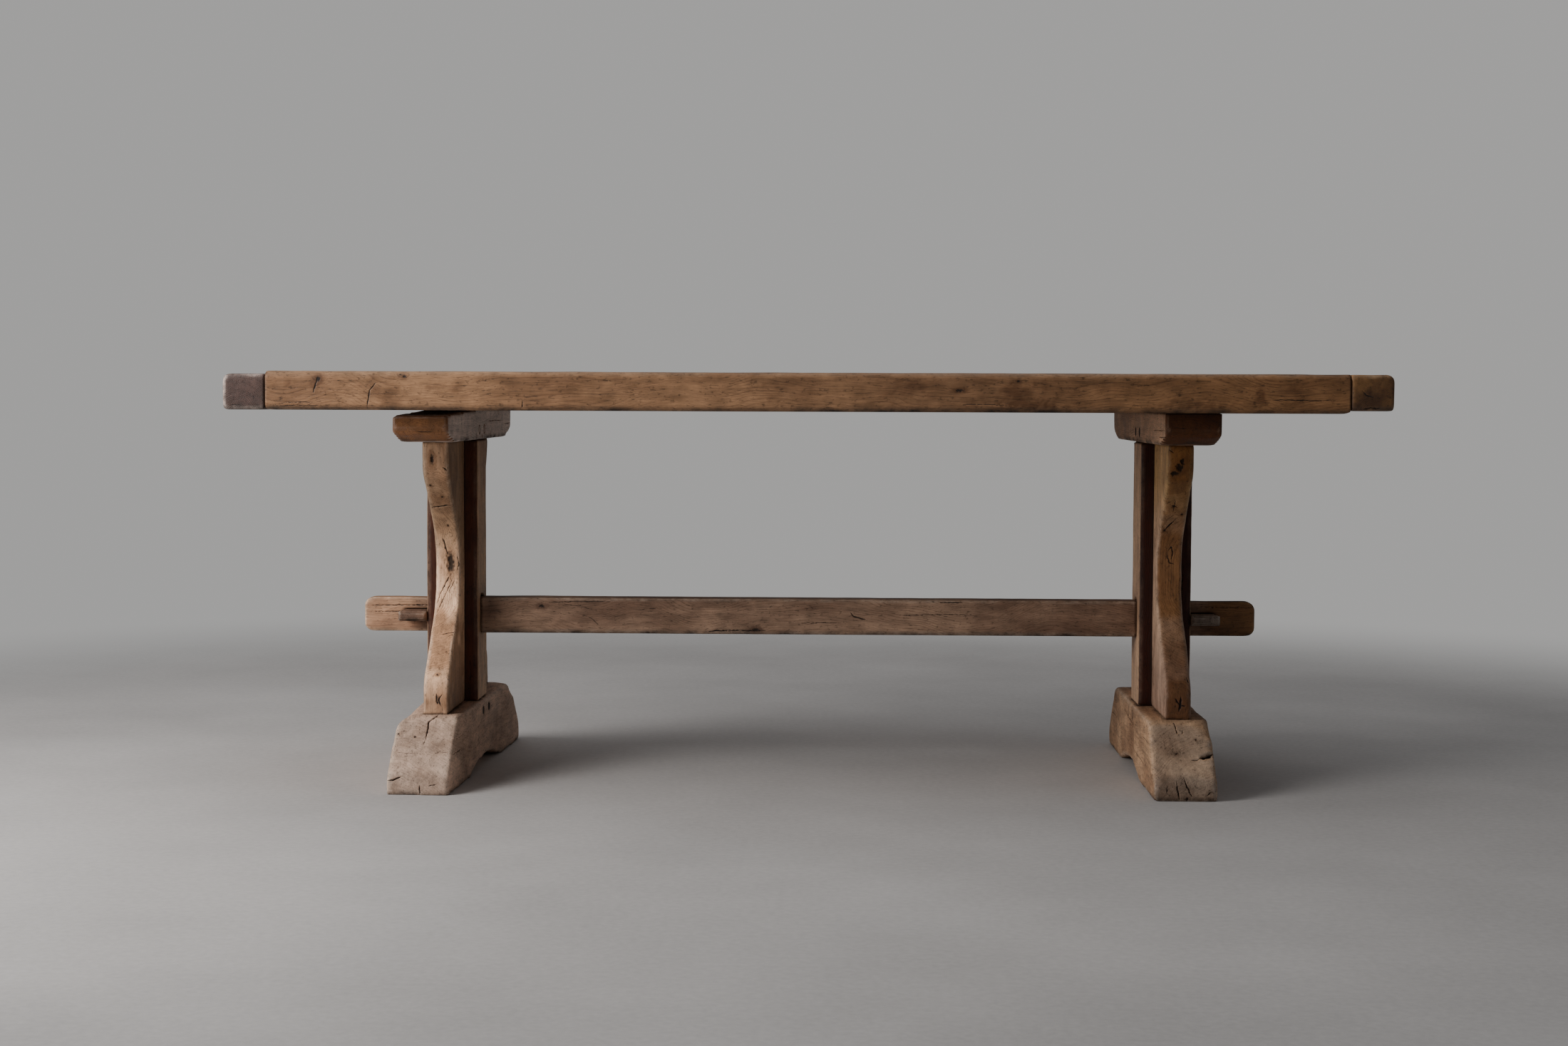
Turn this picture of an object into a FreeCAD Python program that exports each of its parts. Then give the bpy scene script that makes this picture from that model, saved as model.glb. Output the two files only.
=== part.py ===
import FreeCAD, Part
import math
import os
from FreeCAD import Vector

# Knock-down trestle dining table in solid oak, millimetres.
# X runs along the table, Y from its front edge to its back edge, Z up from the floor.
# The origin is on the floor, below the centre of the top.

# Table
table_height = 770.0
table_width = 900.0

# Top: long planks edge to edge, held flat by a cleat across each end
plank_names = ("front", "mid_front", "mid_back", "back")
plank_length = 1912.0
plank_thickness = 69.0
plank_seam = 1.5
front_arris_radius = 8.0
plank_tenon_length = 46.0
plank_tenon_thickness = 22.0
plank_tenon_margin = 38.0
tongue_thickness = 12.0
tongue_depth = 18.0
tongue_end_margin = 60.0
cleat_width = 76.0
cleat_step = 5.0
cleat_corner_radius = 13.0
cleat_lower_radius = 6.0
cleat_end_bevel = 3.0
cleat_peg_width = 12.0

# Foot, one under each trestle
trestle_spacing = 1380.0
foot_length = 720.0
foot_width = 116.0
foot_height = 133.0
foot_toe_height = 32.0
foot_toe_setback = 95.0
foot_toe_radius = 36.0
foot_shoulder_radius = 22.0
foot_arch_length = 300.0
foot_arch_rise = 24.0
foot_arris_radius = 7.0
left_foot_turn = 2.4  # degrees out of square, its near end towards the end of the table

# Cap, the beam that carries the top on each trestle
cap_length = 800.0
cap_width = 100.0
cap_height = 59.0
cap_nose_run = 80.0
cap_nose_rise = 18.0
cap_nose_radius = 18.0
cap_sweep_radius = 150.0
cap_arris_radius = 4.0
left_cap_relief_drop = 10.0
left_cap_relief_length = 360.0

# Centre post
post_width = 100.0
post_depth = 110.0
post_arris_radius = 3.0
post_tenon_thickness = 36.0
post_tenon_margin = 7.0
post_foot_tenon_length = 80.0
post_cap_tenon_length = 44.0

# Shaped wings, in front of and behind each centre post
wing_thickness = 49.0
wing_head_depth = 185.0
wing_waist_depth = 50.0
wing_heel_depth = 190.0
wing_head_height = 57.0
wing_upper_slope_height = 138.0
wing_lower_slope_height = 146.0
wing_heel_height = 60.0
wing_shoulder_radius = 50.0
wing_waist_radius = 110.0
wing_arris_bevel = 2.5
wing_tenon_thickness = 24.0
wing_tenon_width = 90.0
wing_tenon_length = 22.0

# Stretcher, wedged outside both posts
stretcher_height = 70.0
stretcher_thickness = 52.0
stretcher_centre_z = 299.0
stretcher_tenon_height = 67.0
stretcher_tenon_thickness = 34.0
stretcher_tenon_overhang = 130.0
stretcher_end_radius = 17.0
stretcher_arris_radius = 3.0
mortise_head_gap = 5.0

# Wedge through each stretcher tenon, driven in from the front
wedge_length = 140.0
wedge_thick_end = 57.0
wedge_thin_end = 40.0
wedge_height = 20.0
wedge_front_proud = 45.0
wedge_slot_draw = 4.0
wedge_end_chamfer = 5.0

# Pegs, eight-sided and whittled, and round dowels
peg_sides = 8
peg_width = 14.0
peg_spacing = 58.0
peg_joint_distance = 20.0
dowel_diameter = 20.0
dowel_length = 60.0

# Clearances
joint_gap = 0.5
mortise_spare_depth = 2.0
peg_gap = 0.05
dowel_gap = 0.5

# Levels and places that follow from the sizes above
top_underside_z = table_height - plank_thickness
cap_underside_z = top_underside_z - cap_height
plank_width = table_width / len(plank_names)
trestle_x = trestle_spacing / 2
post_inner_x = trestle_x - post_width / 2
post_outer_x = trestle_x + post_width / 2
post_face_y = post_depth / 2
stretcher_end_x = post_outer_x + stretcher_tenon_overhang
tenon_bottom_z = stretcher_centre_z - stretcher_tenon_height / 2
wedge_front_y = -stretcher_tenon_thickness / 2 - wedge_front_proud

LEFT, RIGHT = -1, 1
FRONT, BACK = -1, 1


def block(low, high):
    """Box between two opposite corners, given in any order."""
    corner = Vector(*[min(pair) for pair in zip(low, high)])
    size = [abs(b - a) for a, b in zip(low, high)]
    return Part.makeBox(size[0], size[1], size[2], corner)


def rounded_wire(corners, to_point):
    """Closed wire through (u, v, radius) corners, each turned by a tangent arc.

    An arc has its corner's radius, or as much of it as half the shorter side beside it leaves room for.
    """
    spots = [Vector(u, v, 0) for u, v, radius in corners]
    edges = []
    joints = []
    for index, (u, v, wanted_radius) in enumerate(corners):
        corner = spots[index]
        back_side = spots[index - 1] - corner
        ahead_side = spots[(index + 1) % len(spots)] - corner
        half = back_side.getAngle(ahead_side) / 2
        room = min(back_side.Length, ahead_side.Length) / 2
        reach = min(wanted_radius / math.tan(half), room)
        radius = reach * math.tan(half)
        back, ahead = back_side.normalize(), ahead_side.normalize()
        entry, leave = corner + back * reach, corner + ahead * reach
        if radius > 0:
            middle = corner + (back + ahead).normalize() * (radius / math.sin(half) - radius)
            arc = [to_point(p.x, p.y) for p in (entry, middle, leave)]
            edges.append(Part.Arc(*arc).toShape())
        joints.append((entry, leave))
    for index, (entry, leave) in enumerate(joints):
        following = joints[(index + 1) % len(joints)][0]
        if (following - leave).Length > Part.Precision.confusion():
            ends = [to_point(p.x, p.y) for p in (leave, following)]
            edges.append(Part.makeLine(*ends))
    return Part.Wire(Part.__sortEdges__(edges))


def prism_along_x(corners, x_low, x_high):
    """Solid with a (y, z) outline, between two x planes."""
    wire = rounded_wire(corners, lambda y, z: Vector(x_low, y, z))
    return Part.Face(wire).extrude(Vector(x_high - x_low, 0, 0))


def prism_along_y(corners, y_low, y_high):
    """Solid with an (x, z) outline, between two y planes."""
    wire = rounded_wire(corners, lambda x, z: Vector(x, y_low, z))
    return Part.Face(wire).extrude(Vector(0, y_high - y_low, 0))


def prism_along_z(corners, z_low, z_high):
    """Solid with an (x, y) outline, between two z planes."""
    wire = rounded_wire(corners, lambda x, y: Vector(x, y, z_low))
    return Part.Face(wire).extrude(Vector(0, 0, z_high - z_low))


def rod(start, end, diameter):
    """Round rod between two points."""
    axis = Vector(*end) - Vector(*start)
    return Part.makeCylinder(diameter / 2, axis.Length, Vector(*start), axis)


def whittled_peg(start, end, across):
    """Eight-sided peg between two points, measured across its flats."""
    axis = Vector(*end) - Vector(*start)
    turn = 2 * math.pi / peg_sides
    reach = across / 2 / math.cos(turn / 2)
    angles = [turn * (index + 0.5) for index in range(peg_sides)]
    corners = [Vector(reach * math.cos(angle), reach * math.sin(angle), 0) for angle in angles]
    peg = Part.Face(Part.makePolygon(corners + corners[:1])).extrude(Vector(0, 0, axis.Length))
    peg.Placement = FreeCAD.Placement(Vector(*start), FreeCAD.Rotation(Vector(0, 0, 1), axis))
    return peg


def edges_where(solid, wanted):
    """Edges whose middle point and direction the test accepts."""
    chosen = []
    for edge in solid.Edges:
        middle = edge.valueAt((edge.FirstParameter + edge.LastParameter) / 2)
        direction = (edge.lastVertex().Point - edge.firstVertex().Point).normalize()
        if wanted(middle, direction):
            chosen.append(edge)
    return chosen


def softened(solid, radius, wanted):
    """Solid with the arrises rounded that the test accepts."""
    return solid.makeFillet(radius, edges_where(solid, wanted))


def bevelled(solid, size, wanted):
    """Solid with the arrises planed off that the test accepts."""
    return solid.makeChamfer(size, edges_where(solid, wanted))


def near(a, b):
    """True when two lengths agree to a hundredth of a millimetre."""
    return abs(a - b) < 0.01


def grown(low, high, gap):
    """Corners of a box that is larger by the gap on every side."""
    return [a - gap for a in low], [b + gap for b in high]


# ---- Top ----

def plank_y(index):
    """Front and back edge of a plank."""
    front = -table_width / 2 + index * plank_width
    return front, front + plank_width


def plank_tenon(index, side, gap=0.0, spare=0.0):
    """Tenon at one end of a plank, or with a gap the mortise that it fits."""
    front, back = plank_y(index)
    middle_z = top_underside_z + plank_thickness / 2
    half = plank_tenon_thickness / 2 + gap
    root_x = side * plank_length / 2
    tip_x = root_x + side * (plank_tenon_length + spare)
    low = (root_x, front + plank_tenon_margin - gap, middle_z - half)
    high = (tip_x, back - plank_tenon_margin + gap, middle_z + half)
    return block(low, high)


def tongue(index, gap=0.0):
    """Loose tongue in the seam behind a plank, or with a gap its two grooves."""
    seam_y = plank_y(index)[1]
    middle_z = top_underside_z + plank_thickness / 2
    half_length = plank_length / 2 - tongue_end_margin
    low = (-half_length, seam_y - tongue_depth, middle_z - tongue_thickness / 2)
    high = (half_length, seam_y + tongue_depth, middle_z + tongue_thickness / 2)
    return block(*grown(low, high, gap))


def dowel_places(side):
    """Centres of the locating dowels on one cap, in the middles of the two planks beside the centre line."""
    return [(side * trestle_x, y * plank_width / 2) for y in (FRONT, BACK)]


def top_dowels(side, gap=0.0):
    """Dowels that stand in a cap and locate the top, or with a gap their blind holes."""
    low_z = top_underside_z - dowel_length / 2 - gap
    high_z = top_underside_z + dowel_length / 2 + gap
    rods = [rod((x, y, low_z), (x, y, high_z), dowel_diameter + 2 * gap) for x, y in dowel_places(side)]
    return Part.makeCompound(rods)


def top_plank(index):
    """Plank with its tenons, tongue grooves, softened arrises and dowel holes."""
    front, back = plank_y(index)
    half = plank_length / 2
    first, last = index == 0, index == len(plank_names) - 1
    plank = block((-half, front, top_underside_z), (half, back, table_height))
    outer_y = [y for y, is_outer in ((front, first), (back, last)) if is_outer]

    def outer_arris(middle, direction):
        return abs(direction.x) > 0.9 and any(near(middle.y, y) for y in outer_y)

    def seam_arris(middle, direction):
        on_top = near(middle.z, table_height)
        return abs(direction.x) > 0.9 and on_top and not any(near(middle.y, y) for y in outer_y)

    plank = softened(plank, plank_seam, seam_arris)
    if outer_y:
        plank = softened(plank, front_arris_radius, outer_arris)
    plank = plank.fuse([plank_tenon(index, side) for side in (LEFT, RIGHT)])
    grooves = [tongue(i, joint_gap) for i in (index - 1, index) if 0 <= i < len(plank_names) - 1]
    holes = [top_dowels(side, dowel_gap) for side in (LEFT, RIGHT)]
    pegs = [cleat_pegs(side, peg_gap) for side in (LEFT, RIGHT)]
    return plank.cut(grooves + holes + pegs).removeSplitter()


def cleat_levels(side):
    """Underside and top of a cleat: the left one lines up with the planks below, the right one above."""
    if side == LEFT:
        return top_underside_z, table_height - cleat_step
    return top_underside_z + cleat_step, table_height


def cleat_pegs(side, gap=0.0):
    """Upright pegs through a cleat and each plank's tenon, or with a gap their holes."""
    x = side * (plank_length / 2 + plank_tenon_length / 2)
    middles = [sum(plank_y(i)) / 2 for i in range(len(plank_names))]
    low_z, high_z = cleat_levels(side)
    across = cleat_peg_width + 2 * gap
    return Part.makeCompound([whittled_peg((x, y, low_z), (x, y, high_z), across) for y in middles])


def end_cleat(side):
    """Cleat across the plank ends, thinner than they are, with rounded outer corners."""
    inner_x = side * plank_length / 2
    outer_x = inner_x + side * cleat_width
    low_z, high_z = cleat_levels(side)
    outline = [
        (inner_x, low_z, 0),
        (outer_x, low_z, cleat_lower_radius),
        (outer_x, high_z, cleat_corner_radius),
        (inner_x, high_z, 0),
    ]
    cleat = prism_along_y(outline, -table_width / 2, table_width / 2)

    def end_outline(middle, direction):
        on_end = near(abs(middle.y), table_width / 2)
        return on_end and abs(direction.y) < 0.1 and not near(middle.x, inner_x)

    cleat = bevelled(cleat, cleat_end_bevel, end_outline)
    mortises = [plank_tenon(i, side, joint_gap, mortise_spare_depth) for i in range(len(plank_names))]
    return cleat.cut(mortises + [cleat_pegs(side, peg_gap)])


# ---- Trestles ----

def post_tenons(side, gap=0.0, spare=0.0):
    """Tenons at the foot and the head of a post, or with a gap their mortises."""
    half_x = post_tenon_thickness / 2 + gap
    half_y = post_face_y - post_tenon_margin + gap
    x = side * trestle_x
    foot_low = (x - half_x, -half_y, foot_height - post_foot_tenon_length - spare)
    foot_high = (x + half_x, half_y, foot_height)
    cap_low = (x - half_x, -half_y, cap_underside_z)
    cap_high = (x + half_x, half_y, cap_underside_z + post_cap_tenon_length + spare)
    return [block(foot_low, foot_high), block(cap_low, cap_high)]


def wing_tenons(side, facing, gap=0.0, spare=0.0):
    """Stub tenons at the heel and the head of a wing, or with a gap their mortises."""
    half_x = wing_tenon_thickness / 2 + gap
    half_y = wing_tenon_width / 2 + gap
    x = side * trestle_x
    heel_y = facing * (post_face_y + wing_heel_depth / 2)
    head_y = facing * (post_face_y + wing_head_depth / 2)
    length = wing_tenon_length + spare
    heel_low = (x - half_x, heel_y - half_y, foot_height - length)
    heel_high = (x + half_x, heel_y + half_y, foot_height)
    head_low = (x - half_x, head_y - half_y, cap_underside_z)
    head_high = (x + half_x, head_y + half_y, cap_underside_z + length)
    return [block(heel_low, heel_high), block(head_low, head_high)]


def joint_pegs(side, joint_z, width, gap=0.0):
    """Two pegs along X through a joint in a beam of the given width, or with a gap their holes."""
    low_x, high_x = side * trestle_x - width / 2, side * trestle_x + width / 2
    across = peg_width + 2 * gap
    places = [y * peg_spacing / 2 for y in (FRONT, BACK)]
    pegs = [whittled_peg((low_x, y, joint_z), (high_x, y, joint_z), across) for y in places]
    return Part.makeCompound(pegs)


def turned_with_foot(shape, side):
    """Shape as fitted: the left foot, and the pegs driven through it, stand a little out of square."""
    if side == LEFT:
        shape.rotate(Vector(side * trestle_x, 0, 0), Vector(0, 0, 1), -left_foot_turn)
    return shape


def foot_pegs(side, gap=0.0):
    """Pegs that hold a post in its foot."""
    pegs = joint_pegs(side, foot_height - peg_joint_distance, foot_width, gap)
    return turned_with_foot(pegs, side)


def cap_pegs(side, gap=0.0):
    """Pegs that hold a post in its cap."""
    return joint_pegs(side, cap_underside_z + peg_joint_distance, cap_width, gap)


def foot(side):
    """Foot beam with short upright toes, sloping ends, eased shoulders and an arch under its middle."""
    half = foot_length / 2
    shoulder_y = half - foot_toe_setback
    outline = [
        (-half, 0, 0),
        (half, 0, 0),
        (half, foot_toe_height, foot_toe_radius),
        (shoulder_y, foot_height, foot_shoulder_radius),
        (-shoulder_y, foot_height, foot_shoulder_radius),
        (-half, foot_toe_height, foot_toe_radius),
    ]
    low_x, high_x = side * trestle_x - foot_width / 2, side * trestle_x + foot_width / 2
    beam = prism_along_x(outline, low_x, high_x)

    def upper_arris(middle, direction):
        on_side = near(middle.x, low_x) or near(middle.x, high_x)
        return on_side and middle.z > foot_arris_radius

    beam = softened(beam, foot_arris_radius, upper_arris)
    arch_radius = (foot_arch_length ** 2 / 4 + foot_arch_rise ** 2) / (2 * foot_arch_rise)
    arch_z = foot_arch_rise - arch_radius
    arch = rod((low_x, 0, arch_z), (high_x, 0, arch_z), 2 * arch_radius)
    beam = turned_with_foot(beam.cut(arch), side)
    mortises = [post_tenons(side, joint_gap, mortise_spare_depth)[0]]
    mortises += [wing_tenons(side, facing, joint_gap, mortise_spare_depth)[0] for facing in (FRONT, BACK)]
    return beam.cut([foot_pegs(side, peg_gap)] + mortises)


def cap(side):
    """Cap beam with noses that sweep up under both ends; the left one is planed down at its front."""
    half = cap_length / 2
    flat_y = half - cap_nose_run
    nose_z = cap_underside_z + cap_nose_rise
    low_x, high_x = side * trestle_x - cap_width / 2, side * trestle_x + cap_width / 2
    outline = [
        (half, top_underside_z, 0),
        (-half, top_underside_z, 0),
        (-half, nose_z, cap_nose_radius),
        (-flat_y, cap_underside_z, cap_sweep_radius),
        (flat_y, cap_underside_z, cap_sweep_radius),
        (half, nose_z, cap_nose_radius),
    ]
    profile = prism_along_x(outline, low_x, high_x)
    plan_corners = ((low_x, -half), (high_x, -half), (high_x, half), (low_x, half))
    plan = [(x, y, cap_arris_radius) for x, y in plan_corners]
    beam = profile.common(prism_along_z(plan, cap_underside_z, top_underside_z))
    cuts = [post_tenons(side, joint_gap, mortise_spare_depth)[1], cap_pegs(side, peg_gap)]
    cuts += [wing_tenons(side, facing, joint_gap, mortise_spare_depth)[1] for facing in (FRONT, BACK)]
    cuts.append(top_dowels(side, peg_gap))
    if side == LEFT:
        relief = [
            (-half, top_underside_z, 0),
            (-half, top_underside_z - left_cap_relief_drop, 0),
            (-half + left_cap_relief_length, top_underside_z, 0),
        ]
        cuts.append(prism_along_x(relief, low_x, high_x))
    return beam.cut(cuts)


def stretcher_mortise(side):
    """Through mortise in a post: the tenon sits on its bottom and has a gap above."""
    half_y = stretcher_tenon_thickness / 2 + joint_gap
    low = (side * post_inner_x, -half_y, tenon_bottom_z)
    high = (side * post_outer_x, half_y, tenon_bottom_z + stretcher_tenon_height + mortise_head_gap)
    return block(low, high)


def centre_post(side):
    """Post with a tenon at each end and the stretcher's through mortise."""
    inner_x, outer_x = side * post_inner_x, side * post_outer_x
    shaft = block((inner_x, -post_face_y, foot_height), (outer_x, post_face_y, cap_underside_z))
    shaft = softened(shaft, post_arris_radius, lambda middle, direction: abs(direction.z) > 0.9)
    post = shaft.fuse(post_tenons(side))
    return post.cut([stretcher_mortise(side), foot_pegs(side, peg_gap), cap_pegs(side, peg_gap)])


def wing(side, facing):
    """Shaped wing: straight against the post, its outer edge drawn in to a waist between head and heel."""
    root_y = facing * post_face_y
    head_y = root_y + facing * wing_head_depth
    waist_y = root_y + facing * wing_waist_depth
    heel_y = root_y + facing * wing_heel_depth
    head_z = cap_underside_z - wing_head_height
    heel_z = foot_height + wing_heel_height
    outline = [
        (root_y, foot_height, 0),
        (heel_y, foot_height, 0),
        (heel_y, heel_z, wing_shoulder_radius),
        (waist_y, heel_z + wing_lower_slope_height, wing_waist_radius),
        (waist_y, head_z - wing_upper_slope_height, wing_waist_radius),
        (head_y, head_z, wing_shoulder_radius),
        (head_y, cap_underside_z, 0),
        (root_y, cap_underside_z, 0),
    ]
    low_x, high_x = side * trestle_x - wing_thickness / 2, side * trestle_x + wing_thickness / 2
    panel = prism_along_x(outline, low_x, high_x)

    def outer_arris(middle, direction):
        on_side = near(middle.x, low_x) or near(middle.x, high_x)
        between_ends = foot_height < middle.z < cap_underside_z
        level = near(middle.z, foot_height) or near(middle.z, cap_underside_z)
        return on_side and between_ends and not level and not near(middle.y, root_y)

    panel = bevelled(panel, wing_arris_bevel, outer_arris)
    return panel.fuse(wing_tenons(side, facing))


# ---- Stretcher and wedges ----

def wedge_outline(side, gap=0.0, draw=0.0):
    """(x, y) outline of a wedge: straight against the post, tapered on its outer side."""
    back_y = wedge_front_y + wedge_length
    inner_x = side * (post_outer_x - draw)
    front_x = side * (post_outer_x + wedge_thick_end)
    back_x = side * (post_outer_x + wedge_thin_end)
    return [
        (inner_x, wedge_front_y, gap),
        (front_x, wedge_front_y, gap),
        (back_x, back_y, gap),
        (inner_x, back_y, gap),
    ]


def wedge(side):
    """Tapered key that draws the stretcher's shoulders tight against the post."""
    half = wedge_height / 2
    key = prism_along_z(wedge_outline(side), stretcher_centre_z - half, stretcher_centre_z + half)
    ends = [edge for edge in key.Edges if near(abs(edge.tangentAt(edge.FirstParameter).y), 0)]
    return key.makeChamfer(wedge_end_chamfer, ends)


def wedge_slot(side):
    """Slot through the tenon for the wedge; it starts inside the post so that the wedge can pull."""
    half = wedge_height / 2 + joint_gap
    outline = wedge_outline(side, draw=wedge_slot_draw)
    return prism_along_z(outline, stretcher_centre_z - half, stretcher_centre_z + half)


def stretcher_tenon(side):
    """Long through tenon with rounded corners at its end."""
    top_z = tenon_bottom_z + stretcher_tenon_height
    half_y = stretcher_tenon_thickness / 2
    outline = [
        (side * post_inner_x, tenon_bottom_z, 0),
        (side * stretcher_end_x, tenon_bottom_z, stretcher_end_radius),
        (side * stretcher_end_x, top_z, stretcher_end_radius),
        (side * post_inner_x, top_z, 0),
    ]
    return prism_along_y(outline, -half_y, half_y)


def stretcher():
    """Rail between the trestles, with a shouldered and slotted through tenon at each end."""
    half_y, half_z = stretcher_thickness / 2, stretcher_height / 2
    low = (-post_inner_x, -half_y, stretcher_centre_z - half_z)
    high = (post_inner_x, half_y, stretcher_centre_z + half_z)
    rail = block(low, high)
    rail = softened(rail, stretcher_arris_radius, lambda middle, direction: abs(direction.x) > 0.9)
    rail = rail.fuse([stretcher_tenon(side) for side in (LEFT, RIGHT)])
    return rail.cut([wedge_slot(side) for side in (LEFT, RIGHT)])


def write(name, shape):
    """One STEP file per piece, or per group of like fasteners."""
    shape.exportStep("parts/" + name + ".step")


os.makedirs("parts", exist_ok=True)

for index, place in enumerate(plank_names):
    write("top_plank_" + place, top_plank(index))
for index, place in enumerate(("front", "middle", "back")):
    write("tongue_" + place, tongue(index))

for side, side_name in ((LEFT, "left"), (RIGHT, "right")):
    write("end_cleat_" + side_name, end_cleat(side))
    write("cleat_pegs_" + side_name, cleat_pegs(side))
    write("top_dowels_" + side_name, top_dowels(side))
    write("cap_" + side_name, cap(side))
    write("cap_pegs_" + side_name, cap_pegs(side))
    write("centre_post_" + side_name, centre_post(side))
    write("foot_" + side_name, foot(side))
    write("foot_pegs_" + side_name, foot_pegs(side))
    write("wedge_" + side_name, wedge(side))
    for facing, facing_name in ((FRONT, "front"), (BACK, "back")):
        write("wing_" + facing_name + "_" + side_name, wing(side, facing))

write("stretcher", stretcher())
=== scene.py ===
import itertools
import math
import random
from collections import namedtuple

import bmesh
import bpy
import numpy as np
from mathutils import Matrix, Vector
from mathutils.bvhtree import BVHTree


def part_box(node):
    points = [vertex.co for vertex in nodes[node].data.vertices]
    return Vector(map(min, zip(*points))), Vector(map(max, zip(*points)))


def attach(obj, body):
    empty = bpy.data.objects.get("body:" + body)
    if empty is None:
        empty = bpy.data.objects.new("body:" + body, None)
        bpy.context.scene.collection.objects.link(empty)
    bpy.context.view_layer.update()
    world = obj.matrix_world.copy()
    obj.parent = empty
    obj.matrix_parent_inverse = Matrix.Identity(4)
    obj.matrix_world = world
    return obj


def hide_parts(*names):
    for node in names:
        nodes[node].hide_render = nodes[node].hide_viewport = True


# Worn oak trestle table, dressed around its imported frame. Lengths are in metres unless a name says mm.
# X runs along the table, Y from its front edge to its back edge, Z up from the floor.

MM = 0.001

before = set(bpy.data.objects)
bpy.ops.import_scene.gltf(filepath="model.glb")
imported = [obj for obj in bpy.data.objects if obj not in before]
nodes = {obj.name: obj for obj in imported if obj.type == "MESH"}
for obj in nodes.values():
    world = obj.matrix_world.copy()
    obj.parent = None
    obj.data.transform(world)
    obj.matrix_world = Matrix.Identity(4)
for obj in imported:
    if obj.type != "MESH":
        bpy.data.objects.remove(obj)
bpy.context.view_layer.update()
scene = bpy.context.scene


def placed(name, data):
    """A new object in the scene."""
    made = bpy.data.objects.new(name, data)
    scene.collection.objects.link(made)
    return made


# Camera: at about the height of the top, a little right of the middle

camera_place = Vector((0.0685, -4.5581, 0.7259))
camera_lens_mm = 53.56
camera_sensor_mm = 36.0
camera_yaw = math.radians(1.453)
camera_pitch_down = math.radians(3.075)
camera_roll = math.radians(0.226)

camera_data = bpy.data.cameras.new("camera")
camera_data.lens = camera_lens_mm
camera_data.sensor_width = camera_sensor_mm
camera = placed("camera", camera_data)
camera.matrix_world = (
    Matrix.Translation(camera_place)
    @ Matrix.Rotation(camera_yaw, 4, "Z")
    @ Matrix.Rotation(math.pi / 2 - camera_pitch_down, 4, "X")
    @ Matrix.Rotation(camera_roll, 4, "Z")
)
scene.camera = camera


# Node trees

def emptied(owner):
    """The node tree of a material or a world, without the nodes that it starts with."""
    owner.use_nodes = True
    owner.node_tree.nodes.clear()
    return owner.node_tree


def add(tree, kind, inputs=None, **settings):
    """A new node with its settings. An input is a value or the socket that feeds it."""
    node = tree.nodes.new(kind)
    for name, value in settings.items():
        setattr(node, name, value)
    for key, value in (inputs or {}).items():
        if isinstance(value, bpy.types.NodeSocket):
            tree.links.new(value, node.inputs[key])
        else:
            node.inputs[key].default_value = value
    return node


def calc(tree, operation, first, second=0.0, third=0.0):
    """A sum, product or other step on numbers."""
    node = add(tree, "ShaderNodeMath", {0: first, 1: second, 2: third}, operation=operation)
    return node.outputs[0]


def weighted(tree, start, parts):
    """The start with each part added, times its weight."""
    total = start
    for part, weight in parts:
        total = calc(tree, "MULTIPLY_ADD", part, weight, total)
    return total


def place_calc(tree, operation, first, second):
    """A sum or product of two places."""
    return add(tree, "ShaderNodeVectorMath", {0: first, 1: second}, operation=operation).outputs[0]


def stretch(tree, place, along, across=1.0):
    """The place with its distances along and across the grain scaled."""
    return place_calc(tree, "MULTIPLY", place, (along, across, across))


def parts_of(tree, place):
    """The three numbers of a place."""
    return add(tree, "ShaderNodeSeparateXYZ", {0: place}).outputs


def place_from(tree, x, y, z):
    """A place from its three numbers."""
    return add(tree, "ShaderNodeCombineXYZ", {0: x, 1: y, 2: z}).outputs[0]


def noise(tree, place, size, detail=0.0, rough=0.5, colour=False):
    """Noise with bumps about size apart, as a number or as three of them."""
    inputs = {"Vector": place, "Scale": 1 / size, "Detail": detail, "Roughness": rough}
    node = add(tree, "ShaderNodeTexNoise", inputs)
    return node.outputs["Color" if colour else "Fac"]


def centred(tree, value):
    """Noise moved to both sides of 0."""
    return calc(tree, "SUBTRACT", value, 0.5)


def fade(tree, value, low, high, start=0.0, end=1.0):
    """Goes smoothly from start to end while the value goes from low to high."""
    inputs = {"Value": value, "From Min": low, "From Max": high, "To Min": start, "To Max": end}
    return add(tree, "ShaderNodeMapRange", inputs, interpolation_type="SMOOTHSTEP").outputs[0]


def blend(tree, share, first, second, mode="MIX"):
    """Two colours mixed by a share."""
    node = add(tree, "ShaderNodeMix", data_type="RGBA", blend_type=mode)
    for socket, value in ((node.inputs[0], share), (node.inputs[6], first), (node.inputs[7], second)):
        if isinstance(value, bpy.types.NodeSocket):
            tree.links.new(value, socket)
        else:
            socket.default_value = value
    return node.outputs[2]


def tinted(tree, colour, tint):
    """A colour times another."""
    return blend(tree, 1.0, colour, tint, mode="MULTIPLY")


def scaled(tree, colour, factor):
    """A colour times a number."""
    inputs = {0: colour, "Scale": factor}
    return add(tree, "ShaderNodeVectorMath", inputs, operation="SCALE").outputs[0]


def attribute(tree, name):
    """A number kept on the mesh's points."""
    return add(tree, "ShaderNodeAttribute", attribute_name=name).outputs["Fac"]


# Oak: rings round a pith line, rays that run out from it, pores, fibres and stains

look_colours = ("light", "deep", "worn", "front")
look_numbers = ("ring_mm", "contrast", "figure", "stain", "comb", "roughness")
oak_inputs = {
    "NodeSocketVector": ("place", "shift"),
    "NodeSocketColor": (*look_colours, "grime_and_shade"),
    "NodeSocketFloat": ("end", "facing", *look_numbers),
}
oak_outputs = {"NodeSocketColor": ("colour",), "NodeSocketFloat": ("roughness", "height")}
white = (1.0, 1.0, 1.0, 1.0)
early_wood_tint = (0.42, 0.34, 0.27, 1.0)
# Near-black for painted shade inside cracks and for dark knots
crack_shade_and_knot_colour = (0.014, 0.01, 0.009, 1.0)
most_stain = 1.3
ring_wander = 4.0


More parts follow.
